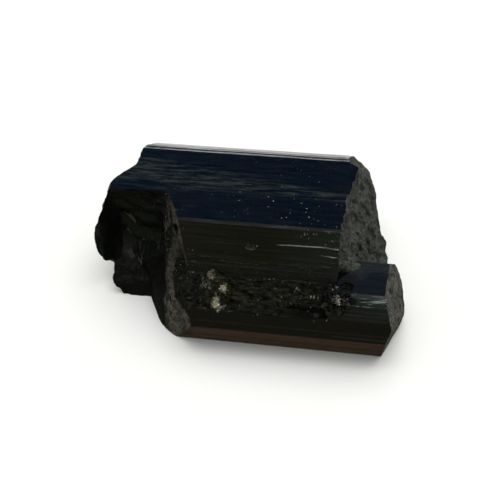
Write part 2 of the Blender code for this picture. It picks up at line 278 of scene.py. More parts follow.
# The ridges, and the gully under the seam, as a rise of each point in mm.
ridged_faces = front | (bevel & (x > 20.0))
point_front = point_share(triangles, len(points), ridged_faces.astype(float))
point_x, _, point_z = points.T
ridge = np.zeros(len(points))
for level, start, rise in RIDGES:
    near = np.clip(1.0 - np.abs(point_z - level) / RIDGE_HALF, 0.0, 1.0)
    ridge += rise * near * ramp(point_x, start, start + RIDGE_FADE) * point_front
gully_left, gully_right = GULLY_SPAN
gully = ramp(away(points[:, 1:], GULLY_LINE), GULLY_REACH, 0.2)
gully *= ramp(point_x, gully_left, gully_left + 2.5) * ramp(point_x, gully_right, gully_right - 1.5)
ridge -= GULLY_DEPTH * gully

mesh = plain_mesh("crystal_fine", points, triangles)
for name, share in (("broken", broken), ("seam", seam), ("glassy", glassy), ("powder", powder),
                    ("top", top), ("front", front), ("bevel", bevel_dull), ("under", under),
                    ("shade", shade), ("crumbly", crumbly), ("dull_and_painted_light", dull_and_painted_light), ("painted_highlight_lines", painted_highlight_lines),
                    ("mica_dust", mica_dust)):
    store(mesh, name, share, "FACE")
store(mesh, "ridge", ridge * MM)
crystal = placed("crystal_surface", mesh)


def add_node(tree, kind, inputs=(), **settings):
    """A node with its settings. An input is given as a value, as the socket that feeds it, or as the
    node whose first live output feeds it."""
    node = tree.nodes.new(kind)
    for name, value in settings.items():
        setattr(node, name, value)
    for socket, value in dict(inputs).items():
        if isinstance(value, bpy.types.Node):
            value = next(output for output in value.outputs if output.enabled)
        if isinstance(value, bpy.types.NodeSocket):
            tree.links.new(value, node.inputs[socket])
        else:
            node.inputs[socket].default_value = value
    return node


def sized_tree(name, sizes, materials):
    """A Geometry Nodes tree with named sizes and materials as inputs; returns it and its inputs."""
    tree = bpy.data.node_groups.new(name, "GeometryNodeTree")
    sockets = tree.interface
    sockets.new_socket("Geometry", in_out="OUTPUT", socket_type="NodeSocketGeometry")
    for kind, titles in (("Geometry", ("Geometry",)), ("Float", sizes), ("Material", materials)):
        for title in titles:
            sockets.new_socket(title, in_out="INPUT", socket_type="NodeSocket" + kind)
    return tree, add_node(tree, "NodeGroupInput").outputs


def run_tree(piece, tree, values):
    """Sets the tree's inputs on a modifier, and makes the result the piece's own plain mesh."""
    modifier = piece.modifiers.new(tree.name, "NODES")
    modifier.node_group = tree
    for item in tree.interface.items_tree:
        if item.name in values:
            modifier[item.identifier] = values[item.name]
    bpy.context.view_layer.update()
    seen = piece.evaluated_get(bpy.context.evaluated_depsgraph_get())
    mesh = bpy.data.meshes.new_from_object(seen)
    piece.modifiers.remove(modifier)
    piece.data = mesh


PIT_SLANT = math.radians(55.0)              # how steeply the pits run down across the ends
PIT_STRETCH = (1.0, 0.34, 1.0)              # how they are drawn out along that slant
PITS_PER_MM = 0.7


def crystal_relief():
    """Grooves along the grown faces; on the breaks a hackly roughness, drawn out along the seam and
    slanting down across the ends."""
    tree, given = sized_tree("crystal_relief", ("Groove width", "Groove length", "Groove depth",
                                                 "Break grain", "Break depth", "Pit depth", "Foot"),
                              ("Grown stone", "Crumbled stone"))
    spot = add_node(tree, "GeometryNodeInputPosition")
    zone = {name: add_node(tree, "GeometryNodeInputNamedAttribute", {"Name": name}, data_type="FLOAT")
            for name in ("broken", "seam", "glassy", "powder", "ridge", "crumbly")}
    across, along, per_grain = (
        add_node(tree, "ShaderNodeMath", {0: 1.0, 1: given[size]}, operation="DIVIDE")
        for size in ("Groove width", "Groove length", "Break grain"))

    grid = add_node(tree, "ShaderNodeCombineXYZ", {"X": along, "Y": across, "Z": across})
    stretched = add_node(tree, "ShaderNodeVectorMath", {0: spot, 1: grid}, operation="MULTIPLY")
    groove = add_node(tree, "ShaderNodeTexNoise", {
        "Vector": stretched, "Scale": 1.0, "Detail": 2.0, "Roughness": 0.6})
    groove_mid = add_node(tree, "ShaderNodeMath", {0: groove, 1: 0.5}, operation="SUBTRACT")
    groove_rise = add_node(tree, "ShaderNodeMath", {0: groove_mid, 1: given["Groove depth"]},
                           operation="MULTIPLY")

    # The hackle is three times as long along the seam, and about half as deep in the glassy hollow.
    drawn_out, calm = (
        add_node(tree, "ShaderNodeMath", {0: zone[name], 1: change, 2: 1.0}, operation="MULTIPLY_ADD")
        for name, change in (("seam", -0.68), ("glassy", -0.55)))
    seam_grid = add_node(tree, "ShaderNodeCombineXYZ", {"X": drawn_out, "Y": 1.0, "Z": 1.0})
    seam_spot = add_node(tree, "ShaderNodeVectorMath", {0: spot, 1: seam_grid}, operation="MULTIPLY")
    hackle = add_node(tree, "ShaderNodeTexNoise", {
        "Vector": seam_spot, "Scale": per_grain, "Detail": 5.0, "Roughness": 0.66})
    hackle_mid = add_node(tree, "ShaderNodeMath", {0: hackle, 1: 0.5}, operation="SUBTRACT")
    hackle_depth = add_node(tree, "ShaderNodeMath", {0: given["Break depth"], 1: calm},
                            operation="MULTIPLY")
    hackle_rise = add_node(tree, "ShaderNodeMath", {0: hackle_mid, 1: hackle_depth},
                           operation="MULTIPLY")

    slant = add_node(tree, "ShaderNodeVectorRotate", {"Vector": spot, "Angle": PIT_SLANT},
                     rotation_type="X_AXIS")
    slant_spot = add_node(tree, "ShaderNodeVectorMath", {0: slant, 1: PIT_STRETCH}, operation="MULTIPLY")
    pits = add_node(tree, "ShaderNodeTexNoise", {
        "Vector": slant_spot, "Scale": PITS_PER_MM / MM, "Detail": 3.0, "Roughness": 0.55})
    pit_here = add_node(tree, "ShaderNodeMapRange", {
        "Value": pits, "From Min": 0.52, "From Max": 0.72, "To Min": 0.0, "To Max": -1.0})
    pit_share = add_node(tree, "ShaderNodeMath", {0: pit_here, 1: zone["powder"]}, operation="MULTIPLY")
    break_rise = add_node(tree, "ShaderNodeMath", {0: pit_share, 1: given["Pit depth"], 2: hackle_rise},
                          operation="MULTIPLY_ADD")

    # All of it fades out at the foot, so that the stone still rests flat.
    rise = add_node(tree, "ShaderNodeMix", {0: zone["broken"], 2: groove_rise, 3: break_rise},
                    data_type="FLOAT")
    ridged = add_node(tree, "ShaderNodeMath", {0: rise, 1: zone["ridge"]}, operation="ADD")
    height = add_node(tree, "ShaderNodeSeparateXYZ", {0: spot}).outputs["Z"]
    clear = add_node(tree, "ShaderNodeMapRange", {
        "Value": height, "From Min": 0.0, "From Max": given["Foot"]})
    kept = add_node(tree, "ShaderNodeMath", {0: ridged, 1: clear}, operation="MULTIPLY")
    outward = add_node(tree, "GeometryNodeInputNormal")
    push = add_node(tree, "ShaderNodeVectorMath", {0: outward, "Scale": kept}, operation="SCALE")
    moved = add_node(tree, "GeometryNodeSetPosition", {"Geometry": given["Geometry"], "Offset": push})
    real = add_node(tree, "GeometryNodeRealizeInstances", {"Geometry": moved})
    hard = add_node(tree, "GeometryNodeSetMaterial", {"Geometry": real, "Material": given["Grown stone"]})
    finished = add_node(tree, "GeometryNodeSetMaterial", {
        "Geometry": hard, "Selection": zone["crumbly"], "Material": given["Crumbled stone"]})
    add_node(tree, "NodeGroupOutput", {"Geometry": finished})
    return tree


MIX_FACTOR, MIX_A, MIX_B = 0, 6, 7          # a colour mix's own sockets


def linear(hex_colour):
    """An sRGB colour written as six hex digits, as the linear RGBA that a socket takes."""
    parts = [int(hex_colour[place:place + 2], 16) / 255 for place in (0, 2, 4)]
    curve = [part / 12.92 if part <= 0.04045 else ((part + 0.055) / 1.055) ** 2.4 for part in parts]
    return (*curve, 1.0)


def bare_material(name):
    """A new material with an empty tree, and the place on the piece that its patterns go by."""
    material = bpy.data.materials.new(name)
    material.use_nodes = True
    tree = material.node_tree
    tree.nodes.clear()
    return material, tree, add_node(tree, "ShaderNodeTexCoord").outputs["Object"]


def schorl_material():
    """Schorl where it grew or broke clean: black with a glassy lustre. Hardly any light comes back from
    within, so its gloss shows first, and its tint of brown, teal or green only where the gloss is dark."""
    material, tree, place = bare_material("black_schorl_raw_crystal")
    along, back, up = add_node(tree, "ShaderNodeSeparateXYZ", {0: place}).outputs
    zone = {name: add_node(tree, "ShaderNodeAttribute", attribute_name=name).outputs["Fac"]
            for name in ("broken", "glassy", "top", "front", "bevel", "under", "shade", "dull_and_painted_light", "painted_highlight_lines")}

    # Patterns: how many cells to the millimetre along, back and up, then how detailed and how rough.
    pattern = {}
    for name, cells, detail, rough in (
            ("grooves", (0.07, 2.3, 2.3), 4.0, 0.6),
            ("scrapes", (0.16, 1.1, 1.1), 6.0, 0.75),
            ("clouds", (0.14, 0.14, 0.14), 4.0, 0.6),
            ("crumbs", (0.75, 2.0, 2.0), 4.0, 0.65),
            ("painted_highlight_lines", (0.16, 3.4, 3.4), 3.0, 0.7),
            ("specks", (1.7, 1.7, 1.7), 1.0, 0.5)):
        grid = add_node(tree, "ShaderNodeMapping", {"Vector": place, "Scale": Vector(cells) / MM})
        pattern[name] = add_node(tree, "ShaderNodeTexNoise", {
            "Vector": grid, "Scale": 1.0, "Detail": detail, "Roughness": rough})

    # The rough lower part of the front has a wandering upper edge. The band of scuffs on the top comes
    # a little forward to the right, and fades with the distance from its middle line.
    wander = add_node(tree, "ShaderNodeMath", {0: pattern["crumbs"], 1: 6.0 * MM, 2: up},
                      operation="MULTIPLY_ADD")
    leaning = add_node(tree, "ShaderNodeMath", {0: along, 1: 0.11, 2: back}, operation="MULTIPLY_ADD")
    off_middle = add_node(tree, "ShaderNodeMath", {0: leaning, 1: 0.9 * MM}, operation="SUBTRACT")
    from_middle = add_node(tree, "ShaderNodeMath", {0: off_middle}, operation="ABSOLUTE")

    # How much each of them counts: from where, up to where, and from how little to how much.
    part = {}
    for name, source, start, full, least, most in (
            ("clouded", pattern["clouds"], 0.38, 0.62, 0.0, 1.0),
            ("polish", pattern["clouds"], 0.35, 0.7, 0.08, 0.17),
            ("streaked", pattern["grooves"], 0.46, 0.75, 0.0, 1.0),
            ("crumbled", pattern["crumbs"], 0.45, 0.72, 0.0, 1.0),
            ("lined", pattern["painted_highlight_lines"], 0.53, 0.66, 0.0, 1.0),
            ("scraped", pattern["scrapes"], 0.44, 0.68, 0.0, 1.0),
            ("patchy", pattern["scrapes"], 0.44, 0.68, 0.45, 1.0),
            ("speckled", pattern["specks"], 0.725, 0.83, 0.0, 1.0),
            ("low", wander, 23.6 * MM, 21.6 * MM, 0.0, 1.0),
            ("high", up, 20.0 * MM, 22.0 * MM, 0.0, 1.0),
            ("main_span", along, 19.3 * MM, 17.5 * MM, 0.0, 1.0),
            ("rightward", along, 6.0 * MM, 27.0 * MM, 0.0, 1.0),
            ("dusty_side", along, -4.0 * MM, 5.0 * MM, 0.25, 1.0),
            ("dusty_edge", back, 0.0, -5.0 * MM, 0.2, 1.0),
            ("band_reach", along, -22.0 * MM, 12.0 * MM, 8.0 * MM, 2.3 * MM)):
        part[name] = add_node(tree, "ShaderNodeMapRange", {
            "Value": source, "From Min": start, "From Max": full, "To Min": least, "To Max": most})
    in_band = add_node(tree, "ShaderNodeMath", {0: from_middle, 1: part["band_reach"]},
                       operation="DIVIDE")
    band = add_node(tree, "ShaderNodeMapRange", {
        "Value": in_band, "From Min": 1.0, "From Max": 0.2, "To Min": 0.16},
        interpolation_type="SMOOTHSTEP")
    grown = add_node(tree, "ShaderNodeMath", {0: 1.0, 1: zone["broken"]}, operation="SUBTRACT")

    # Each finish lies where a pattern and a zone of the stone meet.
    rough_front = (part["low"], zone["front"], part["main_span"])
    for name, factors in (
            ("olive_streaks", (part["streaked"], zone["front"])),
            ("teal", (part["rightward"], zone["front"])),
            ("rough", rough_front),
            ("painted_floor_reflection", (zone["under"], pattern["scrapes"])),
            ("painted_edge_highlight", (part["lined"], zone["painted_highlight_lines"])),
            ("scuffs", (band, zone["top"], part["scraped"])),
            ("dulled_and_painted_light", (zone["dull_and_painted_light"], part["patchy"])),
            ("dust", (part["dusty_edge"], part["dusty_side"], part["high"], zone["top"],
                      part["speckled"])),
            ("groove_height", (pattern["grooves"], grown)),
            ("crumb_height", (pattern["crumbs"], *rough_front))):
        meeting = factors[0]
        for factor in factors[1:]:
            meeting = add_node(tree, "ShaderNodeMath", {0: meeting, 1: factor}, operation="MULTIPLY")
        part[name] = meeting
    worn_and_painted_light = add_node(tree, "ShaderNodeMath", {0: part["scuffs"], 1: part["dulled_and_painted_light"]}, operation="MAXIMUM")

    # Colour: black and a little brown in clouds, with olive streaks, teal towards the right, mottled
    # green in the hollow, rough low on the front and reddish brown underneath as a painted reflection
    # of the warm floor; then painted highlights as pale lines on the edges, the scuffs and dulled places
    # with the painted light on the top's left rim, a few white specks of dust near the front, and black
    # as painted shade.
    tone = {}
    for name, share, dark, pale in (("brown", part["clouded"], "020302", "0b0503"),
                                    ("mottled", part["clouded"], "03100b", "13140f"),
                                    ("rough", part["crumbled"], "020201", "0d0c07")):
        tone[name] = add_node(tree, "ShaderNodeMix", {
            MIX_FACTOR: share, MIX_A: linear(dark), MIX_B: linear(pale)}, data_type="RGBA")
    colour = tone["brown"]
    for share, layer in (
            (part["olive_streaks"], linear("18170f")), (part["teal"], linear("141d1a")),
            (zone["glassy"], tone["mottled"]), (part["rough"], tone["rough"]),
            (part["painted_floor_reflection"], linear("2e1e16")), (part["painted_edge_highlight"], linear("7c8a85")),
            (worn_and_painted_light, linear("34382f")), (part["dust"], linear("a9aaa4")),
            (zone["shade"], linear("020201"))):
        colour = add_node(tree, "ShaderNodeMix", {MIX_FACTOR: share, MIX_A: colour, MIX_B: layer},
                          data_type="RGBA")

    # Gloss: near polished on the grown faces, softer in the hollow, soft on scrapes and bevels.
    gloss = part["polish"]
    for share, softer in ((worn_and_painted_light, 0.22), (zone["bevel"], 0.6), (zone["glassy"], 0.36)):
        gloss = add_node(tree, "ShaderNodeMath", {0: share, 1: softer, 2: gloss},
                         operation="MULTIPLY_ADD")
    for share, roughness in ((part["rough"], 0.3), (zone["shade"], 0.66)):
        gloss = add_node(tree, "ShaderNodeMix", {0: share, 2: gloss, 3: roughness}, data_type="FLOAT")

    grooved = add_node(tree, "ShaderNodeBump", {
        "Height": part["groove_height"], "Strength": 0.9, "Distance": 0.05 * MM})
    crumbed = add_node(tree, "ShaderNodeBump", {
        "Height": part["crumb_height"], "Strength": 1.0, "Distance": 0.14 * MM, "Normal": grooved})
    shader = add_node(tree, "ShaderNodeBsdfPrincipled", {
        "Base Color": colour, "Roughness": gloss, "IOR": 1.63, "Normal": crumbed})
    add_node(tree, "ShaderNodeOutputMaterial", {"Surface": shader})
    return material


def crumbled_material():
    """Schorl where it crumbled: the same black stone broken fine, grey with its own powder on the ends
    and dark with olive dirt along the seam. It has lost its lustre, so it shows its tone and its grain."""
    material, tree, place = bare_material("crumbled_schorl")
    along = add_node(tree, "ShaderNodeSeparateXYZ", {0: place}).outputs["X"]
    zone = {name: add_node(tree, "ShaderNodeAttribute", attribute_name=name).outputs["Fac"]
            for name in ("seam", "powder", "shade", "mica_dust")}

    # Patterns: how many cells to the millimetre along, back and up, then how detailed and how rough.
    # The pits painted dark as shade are the same ones that dent the surface.
    slant = add_node(tree, "ShaderNodeVectorRotate", {"Vector": place, "Angle": PIT_SLANT},
                     rotation_type="X_AXIS")
    pattern = {}
    for name, source, cells, detail, rough in (
            ("grit", place, (2.1, 2.1, 2.1), 5.0, 0.75),
            ("crumbs", place, (0.75, 2.0, 2.0), 4.0, 0.7),
            ("pits", slant, Vector(PIT_STRETCH) * PITS_PER_MM, 3.0, 0.55),
            ("blotches", place, (0.22, 0.22, 0.22), 3.0, 0.5)):
        grid = add_node(tree, "ShaderNodeMapping", {"Vector": source, "Scale": Vector(cells) / MM})
        pattern[name] = add_node(tree, "ShaderNodeTexNoise", {
            "Vector": grid, "Scale": 1.0, "Detail": detail, "Roughness": rough})
    part = {}
    for name, source, start, full, least, most in (
            ("gritted", pattern["grit"], 0.38, 0.62, 0.0, 1.0),
            ("pitted", pattern["pits"], 0.48, 0.66, 1.0, 0.3),
            ("blotched", pattern["blotches"], 0.35, 0.6, 0.72, 1.08),
            ("crumbled", pattern["crumbs"], 0.42, 0.70, 0.0, 1.0),
            ("second_end", along, 26.5 * MM, 28.5 * MM, 0.0, 1.0),
            ("left", along, -6.0 * MM, -9.0 * MM, 0.0, 1.0)):
        part[name] = add_node(tree, "ShaderNodeMapRange", {
            "Value": source, "From Min": start, "From Max": full, "To Min": least, "To Max": most})
    for name, factors in (
            ("gritty", (part["gritted"], part["pitted"], part["blotched"])),
            ("crumb_height", (pattern["crumbs"], zone["seam"])),
            ("grit_height", (pattern["grit"], zone["powder"]))):
        meeting = factors[0]
        for factor in factors[1:]:
            meeting = add_node(tree, "ShaderNodeMath", {0: meeting, 1: factor}, operation="MULTIPLY")
        part[name] = meeting

    # Colour: powder in grey grit, darker in the pits as painted shade and in blotches, paler on the
    # second crystal's end and warmer at the left. The seam is near black with olive crumbs drawn out
    # along it, olive all through round the mica, and painted black as shade in the deep places.
    tone = {}
    for name, share, dark, pale in (("end", part["gritty"], "191916", "63665f"),
                                    ("second_end", part["gritty"], "2a2a26", "7a796f"),
                                    ("left", part["gritty"], "1c1a15", "716b5f"),
                                    ("seam", part["crumbled"], "030302", "2a2b20"),
                                    ("olive", part["crumbled"], "0d0c06", "353322")):
        tone[name] = add_node(tree, "ShaderNodeMix", {
            MIX_FACTOR: share, MIX_A: linear(dark), MIX_B: linear(pale)}, data_type="RGBA")
    powdery = tone["end"]
    for name in ("second_end", "left"):
        powdery = add_node(tree, "ShaderNodeMix", {
            MIX_FACTOR: part[name], MIX_A: powdery, MIX_B: tone[name]}, data_type="RGBA")
    colour = linear("0d0e0a")
    for share, layer in ((zone["powder"], powdery), (zone["seam"], tone["seam"]),
                         (zone["mica_dust"], tone["olive"]), (zone["shade"], linear("030302"))):
        colour = add_node(tree, "ShaderNodeMix", {MIX_FACTOR: share, MIX_A: colour, MIX_B: layer},
                          data_type="RGBA")

    crumbed = add_node(tree, "ShaderNodeBump", {
        "Height": part["crumb_height"], "Strength": 1.0, "Distance": 0.5 * MM})
    gritted = add_node(tree, "ShaderNodeBump", {
        "Height": part["grit_height"], "Strength": 1.0, "Distance": 0.6 * MM, "Normal": crumbed})
    shader = add_node(tree, "ShaderNodeBsdfPrincipled", {
        "Base Color": colour, "Roughness": 0.5, "Specular IOR Level": 0.2, "Normal": gritted})
    add_node(tree, "ShaderNodeOutputMaterial", {"Surface": shader})
    return material


schorl, crumbled_schorl = schorl_material(), crumbled_material()
run_tree(crystal, crystal_relief(), {
    "Groove width": 0.9 * MM, "Groove length": 22.0 * MM, "Groove depth": 0.16 * MM,
    "Break grain": 2.4 * MM, "Break depth": 1.0 * MM, "Pit depth": 0.55 * MM, "Foot": 0.8 * MM,
    "Grown stone": schorl, "Crumbled stone": crumbled_schorl})
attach(crystal, "root")
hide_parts("tourmaline_crystal")


# ---- The mica ----------------------------------------------------------------------------------
# Pale mica grown on the front in a patch: thin silvery six-sided plates, stacked and tilted every
# way on a dark lump, with loose ones strewn round it. They glitter one by one as they catch light.
PLATE_RADIUS = 0.36 * MM
PLATE_THICK = 0.06 * MM
PLATE_SMALLEST, PLATE_LARGEST = (0.5, 0.4, 1.0), (1.4, 1.2, 1.6)     # as shares of those two
PLATE_TILT = 0.9              # how far a plate may lean off the ground, in radians
PLATES_PER_AREA = 24.0 / MM ** 2            # on each square millimetre where they lie thickest
LUMP_SHARE = 1.01             # the lump under the plates, as a share of the solid
LUMP_ROUGHNESS = 0.09         # how far that share goes up and down from place to place
LUMP_GRAIN = 0.8              # how many such places there are along a millimetre
STREW_MIDDLE = (-3.6, -17.9, 14.5)
STREW_REACH = 5.0             # how far from the middle of the patch loose plates lie, mm
FAR_SHARE, NEAR_SHARE = 0.015, 0.13         # how thickly they lie out there, and close to the patch
STREW_BACK = -13.0            # none lie behind this
# The thick heaps of plates, in mm: place along, height, reach, and share of the thickest.
BRIGHT_SPOTS = ((-2.0, 16.2, 0.8, 1.0), (-1.7, 15.6, 0.7, 0.7), (-2.2, 15.0, 0.8, 0.4),
                (-3.1, 15.1, 0.7, 0.5), (-3.2, 14.3, 0.9, 0.9), (-3.3, 13.5, 1.2, 1.0),
                (-2.4, 12.5, 0.8, 1.0), (-1.5, 12.8, 0.6, 0.5), (-5.9, 16.5, 1.0, 0.5),
                (-5.1, 16.7, 0.9, 0.5), (-4.4, 17.8, 1.1, 0.6), (-6.3, 14.5, 0.5, 0.3),
                (-5.0, 12.7, 0.5, 0.3), (-5.4, 15.6, 0.6, 0.3))


def mica_material():
    """Muscovite mica in small books: a pale beige sheet silicate with a pearly, almost metallic
    lustre, so each plate is either bright or nearly dark. The heaps are the palest."""
    material, tree, place = bare_material("pale_mica_in_small_books")
    thickly = add_node(tree, "ShaderNodeAttribute", attribute_name="grain_share").outputs["Fac"]
    tone = add_node(tree, "ShaderNodeTexNoise", {
        "Vector": place, "Scale": 0.9 / MM, "Detail": 4.0, "Roughness": 0.75})
    lifted = add_node(tree, "ShaderNodeMath", {0: thickly, 1: 0.6, 2: tone}, operation="MULTIPLY_ADD")
    spread = add_node(tree, "ShaderNodeMapRange", {"Value": lifted, "From Min": 0.72, "From Max": 1.3})
    colour = add_node(tree, "ShaderNodeMix", {
        MIX_FACTOR: spread, MIX_A: linear("1b190d"), MIX_B: linear("b9b49c")}, data_type="RGBA")
    shader = add_node(tree, "ShaderNodeBsdfPrincipled", {
        "Base Color": colour, "Roughness": 0.3, "IOR": 1.59, "Metallic": 0.2})
    add_node(tree, "ShaderNodeOutputMaterial", {"Surface": shader})
    return material


def strewn(name, flat, smallest, largest):
    """A tree that scatters grains over a ground, six-sided plates or round crumbs, as thickly as the
    ground's own share says, laid on it and turned every way. It keeps only the grains."""
    tree, given = sized_tree(name, ("Grain radius", "Grain thickness", "Tilt", "Per area"), ("Material",))
    share = add_node(tree, "GeometryNodeInputNamedAttribute", {"Name": "grain_share"}, data_type="FLOAT")
    per_area = add_node(tree, "ShaderNodeMath", {0: share, 1: given["Per area"]}, operation="MULTIPLY")
    spread = add_node(tree, "GeometryNodeDistributePointsOnFaces", {
        "Mesh": given["Geometry"], "Density": per_area, "Seed": 4}, distribute_method="RANDOM").outputs
    if flat:
        grain = add_node(tree, "GeometryNodeMeshCylinder", {
            "Radius": given["Grain radius"], "Depth": given["Grain thickness"], "Vertices": 6},
            fill_type="NGON")
    else:
        grain = add_node(tree, "GeometryNodeMeshIcoSphere", {
            "Radius": given["Grain radius"], "Subdivisions": 1})
    minus = add_node(tree, "ShaderNodeMath", {0: 0.0, 1: given["Tilt"]}, operation="SUBTRACT")
    tilt_low, tilt_high = (
        add_node(tree, "ShaderNodeCombineXYZ", {"X": lean, "Y": lean, "Z": turn})
        for lean, turn in ((minus, -math.pi), (given["Tilt"], math.pi)))
    tilt = add_node(tree, "FunctionNodeRandomValue", {0: tilt_low, 1: tilt_high, "Seed": 7},
                    data_type="FLOAT_VECTOR")
    turned = add_node(tree, "FunctionNodeRotateRotation", {
        "Rotation": spread["Rotation"], "Rotate By": tilt}, rotation_space="LOCAL")
    size = add_node(tree, "FunctionNodeRandomValue", {0: smallest, 1: largest, "Seed": 9},
                    data_type="FLOAT_VECTOR")
    laid = add_node(tree, "GeometryNodeInstanceOnPoints", {
        "Points": spread["Points"], "Instance": grain, "Rotation": turned, "Scale": size})
    real = add_node(tree, "GeometryNodeRealizeInstances", {"Geometry": laid})
    finished = add_node(tree, "GeometryNodeSetMaterial", {"Geometry": real, "Material": given["Material"]})
    add_node(tree, "NodeGroupOutput", {"Geometry": finished})
    return tree


def mesh_arrays(mesh):
    """A triangle mesh's points in mm and its triangles."""
    points = np.zeros(len(mesh.vertices) * 3)
    mesh.vertices.foreach_get("co", points)
    triangles = np.zeros(len(mesh.loops), int)
    mesh.loops.foreach_get("vertex_index", triangles)
    return points.reshape(-1, 3) / MM, triangles.reshape(-1, 3)


def ground_object(name, points, triangles, density):
    """The part of a surface that has some density on it, as an object for grains to lie on."""
    triangles = triangles[density[triangles].max(axis=1) > 0.0]
    used, renumbered = np.unique(triangles.ravel(), return_inverse=True)
    ground = plain_mesh(name, points[used], renumbered.reshape(-1, 3))
    store(ground, "grain_share", density[used])
    return placed(name, ground)


def spots_density(points, spots):
    """How thickly grains lie, from round spots given by place along, height, reach and share."""
    density = np.zeros(len(points))
    for along, up, reach, share in spots:
        from_spot = away(points[:, [0, 2]], (along, up))
        density = np.maximum(density, share * ramp(from_spot, reach, 0.4 * reach))
    return density


lump_points, lump_triangles = welded_triangles("mica_patch")
all_broken = np.ones(len(lump_triangles), bool)
lump_points, lump_triangles, _ = split_long_edges(lump_points, lump_triangles, all_broken)
lump_middle = (lump_points.min(axis=0) + lump_points.max(axis=0)) / 2
swell = [LUMP_SHARE + LUMP_ROUGHNESS * noise.noise(Vector(point) * LUMP_GRAIN) for point in lump_points]
lump_points = lump_middle + (lump_points - lump_middle) * np.array(swell)[:, None]
lump_mesh = plain_mesh("mica_lump", lump_points, lump_triangles)
lump_mesh.materials.append(crumbled_schorl)
_, lump_centres = faces_of(lump_points, lump_triangles)
store(lump_mesh, "seam", np.ones(len(lump_triangles)), "FACE")
store(lump_mesh, "mica_dust", mica_dust_at(lump_centres), "FACE")
mica_lump = placed("mica_lump", lump_mesh)

# The plates lie on the lump and on the stone's front round it.
stone_points, stone_triangles = mesh_arrays(crystal.data)
stone_normals, _ = faces_of(stone_points, stone_triangles)
faces_front = stone_triangles[(stone_normals[:, 1] < -0.2) & (stone_normals[:, 2] > -0.3)]
both_points = np.concatenate([stone_points, lump_points])
both_triangles = np.concatenate([faces_front, lump_triangles + len(stone_points)])
from_patch = away(both_points, STREW_MIDDLE)
plate_density = np.max([FAR_SHARE * ramp(from_patch, STREW_REACH, 2.5),
                        NEAR_SHARE * ramp(from_patch, 3.6, 2.4),
                        spots_density(both_points, BRIGHT_SPOTS)], axis=0)
plate_density[both_points[:, 1] > STREW_BACK] = 0.0
mica_plates = ground_object("mica_plates", both_points, both_triangles, plate_density)
run_tree(mica_plates, strewn("strewn_plates", True, PLATE_SMALLEST, PLATE_LARGEST), {
    "Grain radius": PLATE_RADIUS, "Grain thickness": PLATE_THICK, "Tilt": PLATE_TILT,
    "Per area": PLATES_PER_AREA, "Material": mica_material()})
for piece in (mica_lump, mica_plates):
    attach(piece, "root")
    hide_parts("mica_patch")


# ---- The crumbs --------------------------------------------------------------------------------
# Grains of crushed schorl and quartz, a few tenths of a millimetre across, held in the rough of the
# stone: thick on the knob at the right, thin along the seam, the hollow's edge and the front edge.
# The pale grains in the seam are painted glints.
GRAIN_SMALLEST, GRAIN_LARGEST = (0.5, 0.5, 0.4), (1.7, 1.3, 1.2)     # as shares of its kind's radius
GRAIN_TILT = 1.2              # how far a grain may lean off the ground, in radians
KNOB_MIDDLE, KNOB_REACH = (19.6, -18.6, 15.6), 3.3      # where the knob is thick with chunks, mm
KNOB_HEART = (19.6, -19.9, 17.0)            # the pale grains in the middle of them
# Painted glints: small pale grains in the seam where light glints, in mm: place along, height,
# reach, and share of the thickest.
GLINTS = ((11.7, 16.0, 0.45, 1.0), (12.8, 15.6, 0.3, 0.8), (14.2, 14.8, 0.4, 1.0), (15.0, 14.9, 0.35, 1.0),
          (15.7, 14.8, 0.3, 1.0), (9.2, 13.8, 0.4, 0.3), (13.0, 14.9, 0.3, 0.6))


def grain_material(name, dark, pale, scale, roughness):
    """Grains crushed from the stone or caught in it, each its own shade from the dark to the pale."""
    material, tree, place = bare_material(name)
    tone = add_node(tree, "ShaderNodeTexNoise", {"Vector": place, "Scale": scale, "Detail": 3.0})
    spread = add_node(tree, "ShaderNodeMapRange", {"Value": tone, "From Min": 0.42, "From Max": 0.68})
    colour = add_node(tree, "ShaderNodeMix", {
        MIX_FACTOR: spread, MIX_A: linear(dark), MIX_B: linear(pale)}, data_type="RGBA")
    shader = add_node(tree, "ShaderNodeBsdfPrincipled", {
        "Base Color": colour, "Roughness": roughness, "IOR": 1.6})
    add_node(tree, "ShaderNodeOutputMaterial", {"Surface": shader})
    return material


px, py, pz = stone_points.T
from_knob = away(stone_points, KNOB_MIDDLE)
crumb_density = np.max([
    0.15 * ramp(from_knob, KNOB_REACH, 2.2) * (py < -15.0),                              # the knob
    0.03 * (inside(px, -9.0, 19.0) & inside(pz, 12.2, 17.8) & (py < -14.5)),             # the seam
    0.16 * ramp(px, -7.0, -9.5) * inside(pz, 15.5, 22.0) * (py < -9.5) * (px > -14.0),   # over its left
    0.13 * (inside(px, -17.5, -11.0) & inside(pz, 15.0, 25.5) & (py < -3.0)),            # hollow's wall
    0.22 * (inside(pz, 24.6, 26.2) & inside(py, -12.6, -10.6)) * ramp(px, 6.0, 18.0),    # front edge
    0.12 * inside(pz, 23.6, 25.4) * (py < -11.0) * ramp(px, 14.0, 18.0)], axis=0)        # just under it
heart_density = ramp(away(stone_points, KNOB_HEART), 1.7, 0.6)
chunk_density = ramp(from_knob, KNOB_REACH, 2.4) * (py < -15.0) * (pz > 12.6) * (1.0 - heart_density)
pale_density = np.max([0.55 * heart_density, spots_density(stone_points, GLINTS) * (py < -14.0),
                       0.04 * in_front_pit(stone_points)], axis=0)

